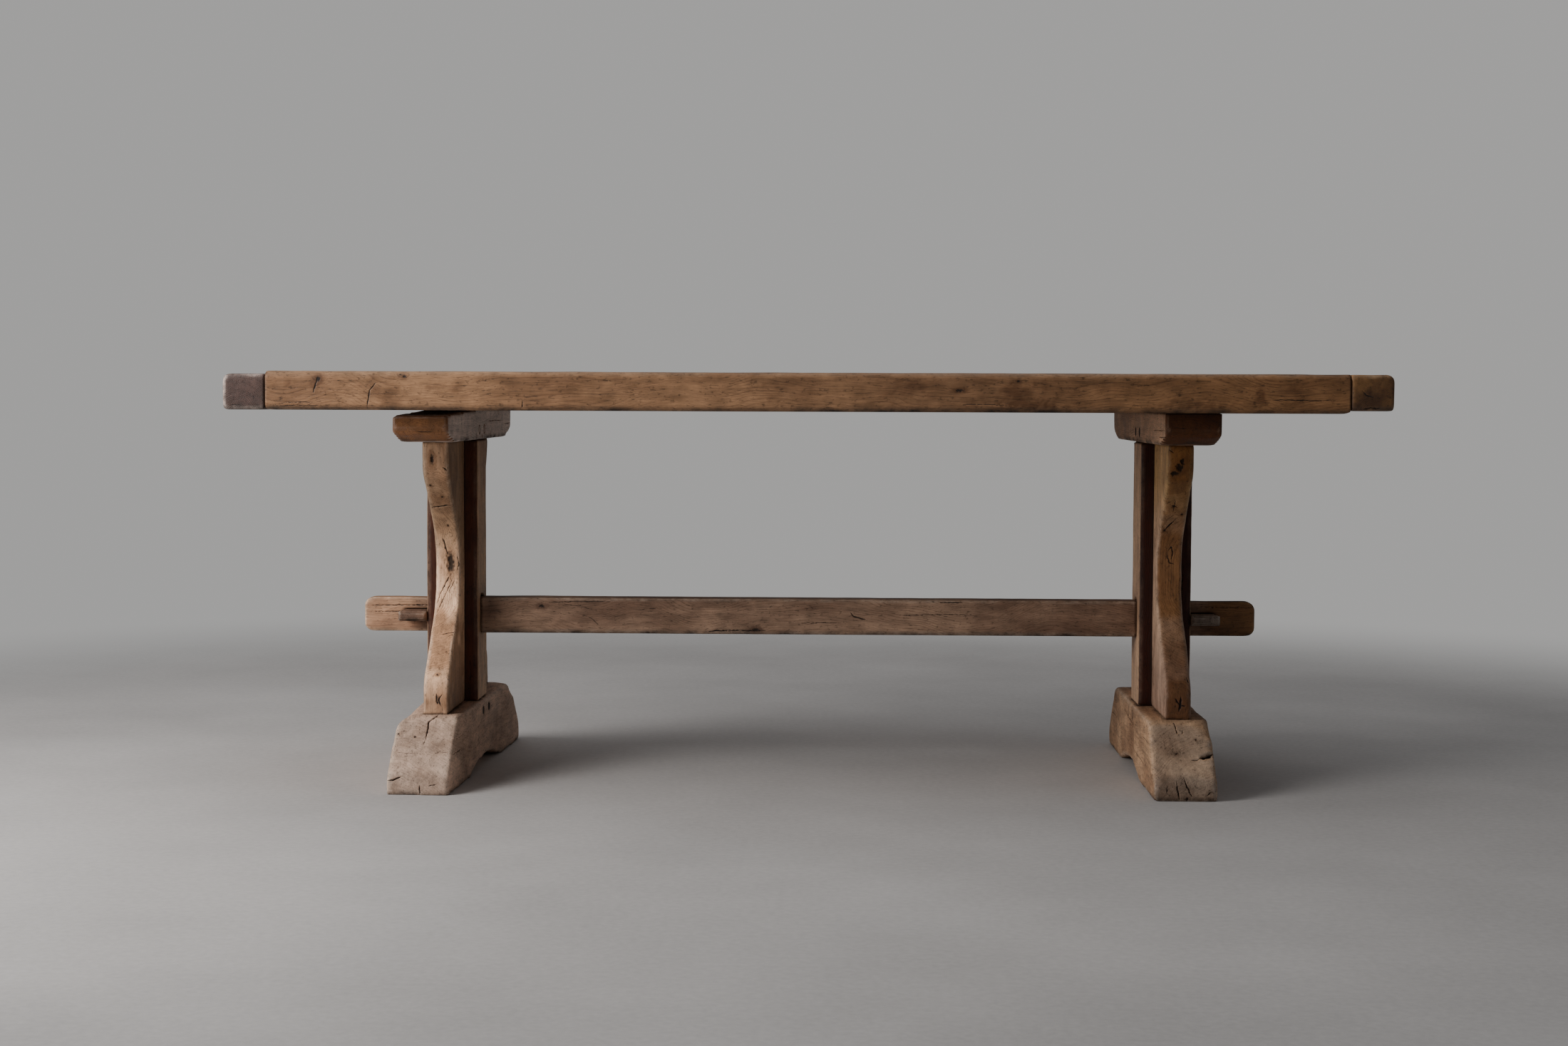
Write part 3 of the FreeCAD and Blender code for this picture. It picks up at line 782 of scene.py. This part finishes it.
def round_shoulder(piece):
    """Wears the left foot's outer top arris to a round that grows towards its front end."""
    mesh = piece.data
    turn = np.array(Matrix.Rotation(left_foot_turn, 3, "Z"))
    centre = np.array(turn_centre)
    own = (points_of(mesh) - centre) @ turn
    low, high = bare_box("foot_left")
    share = 1.0 - smooth(own[:, 1], -0.275, -0.02)
    across = (8.0 + 30.0 * share) * MM
    down = (8.0 + 22.0 * share) * MM
    side_part = np.clip(1.0 - (own[:, 0] + centre[0] - low.x) / across, 0.0, 1.0)
    top_part = np.clip(1.0 - (high.z - own[:, 2]) / down, 0.0, 1.0)
    pull = 1.0 / np.maximum(np.hypot(side_part, top_part), 1.0)
    cut = (side_part > 0.0) & (top_part > 0.0)
    own[cut, 0] += (across * side_part * (1.0 - pull))[cut]
    own[cut, 2] -= (down * top_part * (1.0 - pull))[cut]
    put_points(mesh, centre + own @ turn.T)


def on_side(search, node, side, across, up):
    """The place on one side of a node, from shares of the side's width and height. None off the surface."""
    inward, axis, up_axis = sides[side]
    low, high = bare_box(node)
    aim = (low + high) / 2
    aim[axis] = low[axis] + across * (high[axis] - low[axis])
    aim[up_axis] = low[up_axis] + up * (high[up_axis] - low[up_axis])
    aim -= inward * aim_distance
    if node == "foot_left":
        turn = Matrix.Rotation(left_foot_turn, 3, "Z")
        aim = turn_centre + turn @ (aim - turn_centre)
        inward = turn @ inward
    return search.ray_cast(aim, inward)[0]


def made_cracks(search, node, rows):
    """Cracks from rows of side, route as shares of that side, width in mm and depth in mm."""
    cracks = []
    for side, shares, width, depth in rows:
        side_width, side_height = side_sizes(node, side)
        route = []
        for here, there in itertools.pairwise(shares):
            run = math.hypot((there[0] - here[0]) * side_width, (there[1] - here[1]) * side_height)
            parts = max(1, round(run / crack_step))
            for i in range(parts + 1):
                spot = [a + (b - a) * i / parts for a, b in zip(here, there)]
                place = on_side(search, node, side, *spot)
                if place is not None and not (route and (place - route[-1]).length < 0.1 * MM):
                    route.append(place)
        if len(route) > 1:
            cracks.append(Crack(route, width * MM, depth * MM))
    return cracks


def made_spots(search, node, rows, kind, unit):
    """Knots or stains from rows of side, place as shares of it, sizes in mm and a number in its own unit."""
    spots = []
    for side, across, up, half_across, half_along, last in rows:
        place = on_side(search, node, side, across, up)
        if place is not None:
            spots.append(kind(place, half_across * MM, half_along * MM, last * unit))
    return spots


longest_drying_crack = 220.0 * MM
longest_end_crack = 38.0 * MM


def drying_cracks(node, side, grain, count, draw):
    """Rows of cracks that follow the grain on a side, as shares of it."""
    along_up = "XYZ"[sides[side][2]] == grain
    width, height = side_sizes(node, side)
    run = height if along_up else width
    rows = []
    for _ in range(count):
        length = min(0.8, draw.uniform(0.35, 1.0) * longest_drying_crack / run)
        start = draw.choice((0.004, 0.996 - length, draw.uniform(0.02, 0.98 - length)))
        lane = draw.uniform(0.1, 0.9)
        shares = []
        for i in range(6):
            lane += draw.uniform(-0.012, 0.012)
            spot = (start + length * i / 5, min(0.97, max(0.03, lane)))
            shares.append(spot[::-1] if along_up else spot)
        rows.append((side, shares, draw.uniform(0.7, 1.3), draw.uniform(1.0, 2.2)))
    return rows


def end_cracks(node, side, count, draw):
    """Rows of short cracks that run out from the middle of an end."""
    width, height = side_sizes(node, side)
    rows = []
    for _ in range(count):
        angle = draw.uniform(0.0, 2.0 * math.pi)
        start = draw.uniform(0.05, 0.3)
        reach = draw.uniform(0.4, 1.0) * longest_end_crack
        shares = []
        for i in range(4):
            turn = angle + draw.uniform(-0.15, 0.15)
            across = 0.5 + math.cos(turn) * (start * 0.5 + reach * i / 3 / width)
            up = 0.45 + math.sin(turn) * (start * 0.5 + reach * i / 3 / height)
            shares.append((min(0.97, max(0.03, across)), min(0.95, max(0.04, up))))
        rows.append((side, shares, draw.uniform(0.8, 1.5), draw.uniform(1.2, 2.6)))
    return rows


# Marks that the photograph shows, by piece and side. Places are in thousandths of the side's width and
# height, and made_cracks and made_spots say what else a row has

seen_cracks = {
    ("wing_front_left", "front"): (
        (((50, 752), (450, 756), (990, 764)), 2.3, 2.8), (((780, 905), (970, 894)), 2.2, 3),
        (((340, 634), (420, 600), (520, 565)), 2.2, 2), (((880, 580), (930, 530), (840, 505)), 1.2, 1.2),
        (((660, 500), (540, 484), (360, 450), (220, 425), (70, 370)), 1.3, 1.6),
        (((720, 490), (500, 436), (330, 398), (150, 352)), 1.2, 1.5),
        (((800, 478), (620, 445), (520, 420)), 0.9, 1), (((400, 278), (600, 282), (970, 287)), 1.4, 1.4),
        (((620, 271), (950, 279)), 0.9, 1), (((520, 76), (560, 34)), 2.6, 1.5),
        (((740, 74), (600, 52), (720, 28)), 2.2, 1.5),
    ),
    ("wing_front_right", "front"): (
        (((220, 677), (400, 700), (577, 718)), 2.2, 2), (((340, 776), (580, 768)), 1.8, 1.4),
        (((470, 792), (440, 750)), 1.6, 1.4),
        (((440, 600), (550, 612), (620, 590), (580, 562)), 1.7, 1.4),
        (((440, 600), (420, 578), (520, 552), (740, 547)), 1.6, 1.4), (((50, 982), (300, 968)), 1.3, 1.4),
        (((400, 78), (540, 58), (620, 40)), 2.2, 1.6), (((620, 86), (600, 56), (540, 30)), 2.4, 1.8),
        (((600, 52), (800, 50)), 2, 1.6), (((860, 150), (940, 130)), 1.6, 1.6),
    ),
    ("foot_left", "front"): (
        (((660, 998), (600, 970), (530, 925), (540, 800), (530, 705)), 1.9, 3.6),
        (((530, 710), (520, 630)), 1, 1.6), (((20, 195), (120, 205), (260, 256)), 1.8, 3),
        (((540, 10), (540, 135)), 1.4, 2.5), (((680, 130), (740, 140), (800, 155)), 1.3, 1.5),
        (((20, 555), (130, 545), (300, 535), (500, 540)), 0.6, 0.8),
        (((20, 505), (200, 498), (330, 502)), 0.5, 0.7), (((660, 535), (800, 548), (980, 560)), 0.7, 0.8),
        (((30, 900), (90, 850)), 1.2, 1.4),
    ),
    ("foot_right", "front"): (
        (((760, 545), (880, 570), (985, 590)), 4.6, 8), (((620, 520), (700, 524), (770, 545)), 1.2, 1.6),
        (((410, 990), (430, 930), (450, 830)), 1.4, 2.5), (((535, 890), (530, 830)), 1, 1.5),
        (((200, 120), (220, 210)), 1.3, 1.6), (((360, 270), (370, 160), (410, 10)), 1.7, 2.6),
        (((470, 330), (500, 250), (560, 130), (600, 60)), 1.7, 2.6), (((820, 80), (900, 130)), 1.4, 2),
    ),
    ("foot_right", "left"): (
        (((360, 680), (500, 750), (630, 820)), 1.6, 2.6),
        (((180, 330), (300, 360), (390, 390)), 1.4, 2.2),
    ),
    ("stretcher", "front"): (
        (((388, 60), (398, 100), (412, 90)), 2, 2.4), (((405, 115), (430, 100), (455, 120)), 1.6, 2),
        (((548, 640), (552, 520), (566, 430)), 1.8, 1.8), (((490, 330), (520, 345), (545, 350)), 1, 1.2),
        (((590, 560), (640, 585), (690, 610)), 1, 1.2), (((646, 930), (676, 930)), 1.6, 1.2),
        (((200, 860), (240, 895), (285, 900)), 1.2, 1.2),
        (((215, 760), (228, 800), (245, 770), (262, 640)), 1, 0.8),
        (((245, 560), (258, 420), (268, 170)), 1, 0.8), (((306, 640), (318, 700), (333, 730)), 0.9, 0.8),
    ),
    ("top_plank_front", "front"): (
        (((50, 840), (47, 620), (45, 420)), 2, 0.9), (((104, 710), (97.6, 510), (95.5, 50)), 1.5, 1.2),
        (((239.5, 260), (239, 70)), 1.5, 1), (((8, 120), (20, 190), (35, 200), (50, 210)), 1, 0.9),
        (((8, 90), (30, 120), (60, 110)), 0.9, 0.9),
        (((915, 330), (935, 345), (962, 335), (986, 350)), 1.1, 0.9),
        (((640, 190), (665, 215), (690, 170)), 0.9, 0.8),
    ),
    ("end_cleat_left", "front"): ((((120, 100), (300, 130), (550, 110)), 0.8, 0.8),),
    ("end_cleat_right", "front"): (
        (((280, 50), (450, 90), (660, 60)), 1.6, 2.2), (((240, 560), (340, 430), (520, 380)), 1.3, 1.4),
    ),
    ("cap_left", "front"): (
        (((420, 360), (600, 330), (720, 350)), 1.3, 1.2), (((100, 160), (300, 200)), 0.9, 1),
    ),
    ("cap_left", "right"): (
        (((330, 300), (335, 80)), 1.3, 1.6), (((420, 260), (425, 60)), 1.3, 1.6),
        (((500, 200), (510, 20)), 1.6, 2), (((640, 280), (640, 40)), 1.2, 1.4),
        (((770, 990), (775, 800)), 2.4, 3),
    ),
    ("cap_right", "front"): ((((100, 560), (400, 540)), 0.8, 0.8),),
}
seen_knots = {
    ("wing_front_left", "front"): (
        (380, 934, 5, 11, 2), (630, 538, 10, 25, 3), (220, 837, 2.6, 3.6, 0.6), (590, 792, 3, 6, 0.8),
        (620, 681, 2.4, 6, 0.8), (520, 144, 3.4, 3.4, 0.8),
    ),
    ("wing_front_right", "front"): (
        (565, 939, 6, 7.5, 1.4), (440, 914, 8.5, 11, 1.8), (270, 895, 9.5, 6, 1.4), (450, 770, 5, 6, 1),
        (800, 740, 3.4, 3.4, 0.8), (220, 677, 3.4, 4.4, 1), (600, 50, 4, 5, 1.2),
    ),
    ("foot_left", "front"): ((360, 737, 3.2, 3.2, 1.4), (80, 770, 2.6, 2.6, 1)),
    ("foot_right", "front"): ((400, 600, 3, 3.6, 0.5), (730, 770, 2, 5, 0.8), (520, 30, 4, 4, 1.6)),
    ("top_plank_front", "front"): (
        (50, 800, 6, 5, 0.4), (126.3, 910, 2.2, 3, 0.4), (130, 860, 3, 4, 0.4), (642, 560, 3.4, 9, 0.5),
        (696, 800, 2.4, 4, 0.4),
    ),
    ("stretcher", "front"): ((442, 140, 4, 9, 1), (201, 760, 3.4, 8, 0.6)),
}

# Stained patches, with how dark each is
seen_stains = {
    ("wing_front_left", "front"): (
        (620, 545, 17, 34, 0.9), (500, 665, 20, 34, 0.5), (600, 790, 14, 20, 0.4),
    ),
    ("wing_front_left", "right"): ((450, 200, 70, 110, 1.5),),
    ("wing_front_right", "front"): (
        (450, 850, 30, 22, 0.9), (500, 470, 30, 26, 0.6), (500, 270, 30, 34, 0.7), (600, 50, 14, 14, 0.6),
    ),
    ("foot_left", "front"): (
        (350, 760, 22, 16, 0.6), (250, 640, 26, 10, 0.5), (850, 620, 20, 12, 0.5), (100, 90, 22, 12, 0.9),
        (800, 230, 26, 12, 0.5),
    ),
    ("foot_right", "front"): ((400, 620, 16, 16, 0.3), (350, 120, 30, 16, 0.4), (850, 60, 20, 9, 1)),
    ("foot_right", "left"): ((450, 700, 50, 30, 0.6),),
    ("cap_left", "front"): ((600, 350, 12, 5, 0.9), (550, 180, 30, 5, 0.7)),
    ("top_plank_front", "front"): (
        (48, 700, 8, 12, 1), (21.3, 680, 6, 4, 0.6), (85, 620, 9, 16, 0.6), (112, 420, 24, 26, 0.9),
        (159, 620, 7, 16, 0.9), (179, 560, 14, 9, 0.7), (330, 600, 16, 40, 0.3), (457, 590, 10, 26, 0.5),
        (470, 400, 22, 16, 0.6), (600, 620, 14, 50, 0.5), (693, 470, 22, 40, 0.6),
        (708, 200, 10, 50, 0.9), (780, 620, 12, 26, 0.5), (860, 200, 12, 50, 0.7),
        (917, 450, 18, 10, 0.9), (948, 500, 16, 16, 0.5),
    ),
    ("end_cleat_right", "front"): (
        (250, 420, 16, 12, 0.6), (700, 300, 18, 10, 0.5), (450, 60, 30, 5, 0.8),
    ),
}


def seen_on(table, node):
    """The rows that a table of marks has for one piece, each with its side first."""
    return [(side, *row) for (owner, side), rows in table.items() if owner == node for row in rows]


def seen_routes(node):
    """Rows of the cracks seen on a piece, as shares of its sides."""
    return [
        (side, [(across / 1000, up / 1000) for across, up in route], width, depth)
        for side, route, width, depth in seen_on(seen_cracks, node)
    ]


def seen_spots(table, node):
    """Rows of the knots or stains seen on a piece, as shares of its sides."""
    return [(side, across / 1000, up / 1000, *sizes) for side, across, up, *sizes in seen_on(table, node)]


# Pegs whose ends have darkened the wood round them: host, side seen and pegs
dark_pegs = (("cap_right", "left", "cap_pegs_right"), ("foot_left", "right", "foot_pegs_left"))
half_peg = 7.0 * MM


def peg_marks(node):
    """Rows of knots, one round each dark peg's end, as shares of the host's side."""
    rows = []
    for host, side, pegs in dark_pegs:
        if host == node:
            low, high = bare_box(host)
            peg_low, peg_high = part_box(pegs)
            up = ((peg_low.z + peg_high.z) / 2 - low.z) / (high.z - low.z)
            for y in (peg_low.y + half_peg, peg_high.y - half_peg):
                rows.append((side, (y - low.y) / (high.y - low.y), up, 6.0, 9.0, 0.8))
    return rows


# The pieces. Pith is beside the node's middle in mm, and voxel and chip are in mm. Rounds are of wear
Piece = namedtuple("Piece", "node body grain slot look pith voxel rounds chip")
planks = ("top_plank_front", "top_plank_mid_front", "top_plank_mid_back", "top_plank_back")
plank_piths = ((60.0, -150.0), (-30.0, 110.0), (40.0, -95.0), (-70.0, 130.0))
pieces = []
for node, pith in zip(planks, plank_piths):
    pieces.append(Piece(node, "top", "X", "oak_top", "top", pith, 5.0, 4, 1.0))

# At each end of the table, with the pith measured away from the table's middle
end_pieces = (
    Piece("end_cleat", "top", "Y", "oak_cleat", "cleat", (10.0, -40.0), 3.5, 5, 1.6),
    Piece("cap", "frame", "Y", "oak_frame", "cap", (-20.0, -55.0), 4.0, 4, 1.6),
    Piece("centre_post", "frame", "Z", "oak_post", "post", (70.0, 40.0), 4.0, 5, 1.2),
    Piece("wing_front", "frame", "Z", "oak_frame", "wing", (35.0, 60.0), 3.5, 8, 1.8),
    Piece("wing_back", "frame", "Z", "oak_frame", "wing", (-30.0, -70.0), 3.5, 8, 1.8),
    Piece("foot", "frame", "Y", "oak_foot", "foot", (90.0, -160.0), 4.5, 5, 2.2),
    Piece("wedge", "wedge", "Y", "oak_wedge", "wedge", (30.0, 20.0), 2.0, 12, 2.2),
)
for end, sign in (("left", -1.0), ("right", 1.0)):
    for plan in end_pieces:
        pieces.append(plan._replace(
            node=plan.node + "_" + end,
            body=plan.body + "_" + end if plan.body == "wedge" else plan.body,
            look=plan.look + "_" + end,
            pith=(plan.pith[0] * sign, plan.pith[1]),
        ))
pieces.append(Piece("stretcher", "frame", "X", "oak_stretcher", "stretcher", (40.0, -70.0), 4.0, 5, 1.2))

side_sets = {
    "X": ("front", "back", "top", "under"),
    "Y": ("left", "right", "top"),
    "Z": ("front", "back", "left", "right"),
}
end_sides = {"X": ("left", "right"), "Y": ("front", "back"), "Z": ()}
# How far the room round a piece is measured, and how far the darkening in joints (dirt and painted shade)
# reaches on the top and on the frame
room_reach = 8.0 * MM
top_grime_and_shade_reach = 2.5 * MM
frame_grime_and_shade_reach = 5.0 * MM


def crack_rows(node, grain, draw):
    """The cracks that the photograph shows on a piece, and drawn ones on its other sides."""
    rows = seen_routes(node)
    if node.startswith("wedge"):
        return rows
    skipped = {"front"} if (node, "front") in seen_cracks else set()
    if node.startswith("foot"):
        skipped.add("top")
    for side in side_sets[grain]:
        if side not in skipped:
            rows += drying_cracks(node, side, grain, 2, draw)
    for side in end_sides[grain]:
        if side not in skipped:
            rows += end_cracks(node, side, 3, draw)
    return rows


def dress(number, plan):
    """Makes one worn piece, with its marks and its material, in the place of its CAD node."""
    node = plan.node
    seed = 100 + 10 * number
    draw = random.Random(seed)
    piece = voxel_copy(node, "worn_" + node, plan.voxel * MM)
    room = room_round(piece, node, room_reach)
    rub_corners(piece, node, room)
    if node == "foot_left":
        round_shoulder(piece)
    grime_and_shade_reach = top_grime_and_shade_reach if plan.body == "top" else frame_grime_and_shade_reach
    rub_arrises(piece, node, plan.rounds, room, seed, plan.chip * MM, grime_and_shade_reach)
    search = BVHTree.FromObject(piece, bpy.context.evaluated_depsgraph_get())
    knots = made_spots(search, node, seen_spots(seen_knots, node) + peg_marks(node), Knot, MM)
    stains = made_spots(search, node, seen_spots(seen_stains, node), Stain, 1.0)
    cracks = made_cracks(search, node, crack_rows(node, plan.grain, draw))
    press_marks(piece, cracks, knots, stains, plan.grain, seed)
    low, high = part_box(node)
    middle = (low + high) / 2
    order = grain_orders[plan.grain]
    pith = (middle[order[1]] + plan.pith[0] * MM, middle[order[2]] + plan.pith[1] * MM)
    material = oak("worn_" + node, plan.grain, pith, looks[plan.look], seed, tones_of.get(node, ()))
    piece.data.materials.append(material)
    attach(piece, plan.body)
    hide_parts(node)


for number, plan in enumerate(pieces):
    dress(number, plan)


# Pegs, dowels and tongues keep their CAD shapes

def repaint(node, grain, look, seed):
    """Gives a CAD node an oak material whose pith is just outside it."""
    low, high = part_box(node)
    order = grain_orders[grain]
    pith = (low[order[1]] - 20 * MM, low[order[2]] - 15 * MM)
    material = oak(node, grain, pith, looks[look], seed)
    for slot in nodes[node].material_slots:
        slot.material = material


kept = (
    ("top_dowels_left", "Z", "inner"), ("top_dowels_right", "Z", "inner"),
    ("cleat_pegs_left", "Z", "peg"), ("cleat_pegs_right", "Z", "peg"),
    ("cap_pegs_right", "X", "peg"), ("foot_pegs_left", "X", "peg"),
    ("cap_pegs_left", "X", "cap_left"), ("foot_pegs_right", "X", "foot_right"),
    ("tongue_front", "X", "inner"), ("tongue_middle", "X", "inner"), ("tongue_back", "X", "inner"),
)
for number, (node, grain, look) in enumerate(kept):
    repaint(node, grain, look, 900 + number)


# Floor: pale, and clear beyond a few metres so that the even background shows

floor_radius = 5.0
floor_fade = (1.8, 3.6)
floor_colour = (0.56, 0.535, 0.52)


def pale_floor():
    shape = bmesh.new()
    bmesh.ops.create_circle(shape, cap_ends=True, segments=96, radius=floor_radius)
    mesh = bpy.data.meshes.new("floor")
    shape.to_mesh(mesh)
    shape.free()
    material = bpy.data.materials.new("floor")
    tree = emptied(material)
    place = add(tree, "ShaderNodeTexCoord").outputs["Object"]
    grain = noise(tree, place, 0.012, detail=4.0, rough=0.6)
    clouds = noise(tree, place, 0.6, detail=5.0, rough=0.6)
    tone = weighted(tree, 1.0, ((centred(tree, clouds), 0.45), (centred(tree, grain), 0.3)))
    surface = add(tree, "ShaderNodeBsdfPrincipled", {
        "Base Color": scaled(tree, floor_colour, tone),
        "Roughness": 0.75,
        "Normal": add(tree, "ShaderNodeBump", {"Distance": 0.3 * MM, "Height": grain}).outputs[0],
        "Specular IOR Level": 0.2,
    })
    clear = add(tree, "ShaderNodeBsdfTransparent")
    distance = add(tree, "ShaderNodeVectorMath", {0: place}, operation="LENGTH").outputs["Value"]
    mixed = add(tree, "ShaderNodeMixShader", {
        0: fade(tree, distance, *floor_fade),
        1: surface.outputs[0],
        2: clear.outputs[0],
    })
    add(tree, "ShaderNodeOutputMaterial", {"Surface": mixed.outputs[0]})
    mesh.materials.append(material)
    return placed("floor", mesh)


pale_floor()


# Light: a broad window at the front left, a soft ceiling and an even dim surround

def soft_light(name, place, target, width, height, power, colour=(1.0, 1.0, 1.0)):
    """A rectangular lamp that faces a target."""
    data = bpy.data.lights.new(name, "AREA")
    data.shape = "RECTANGLE"
    data.size = width
    data.size_y = height
    data.energy = power
    data.color = colour
    lamp = placed(name, data)
    lamp.location = place
    lamp.rotation_euler = (Vector(target) - Vector(place)).to_track_quat("-Z", "Y").to_euler()


soft_light("window", (-2.5, -1.6, 1.6), (-0.2, 0.0, 0.35), 1.4, 2.0, 74.0, (1.0, 0.985, 0.97))
soft_light("ceiling", (-0.5, 0.8, 3.2), (-0.5, 0.8, 0.0), 4.5, 4.5, 36.0)

surround = bpy.data.worlds.new("surround")
sky = emptied(surround)
lit = add(sky, "ShaderNodeBackground", {"Color": (0.93, 0.96, 1.0, 1.0), "Strength": 0.13})
seen = add(sky, "ShaderNodeBackground", {"Color": (1.0, 0.99, 0.975, 1.0), "Strength": 0.4})
direct = add(sky, "ShaderNodeLightPath").outputs["Is Camera Ray"]
both = add(sky, "ShaderNodeMixShader", {0: direct, 1: lit.outputs[0], 2: seen.outputs[0]})
add(sky, "ShaderNodeOutputWorld", {"Surface": both.outputs[0]})
scene.world = surround
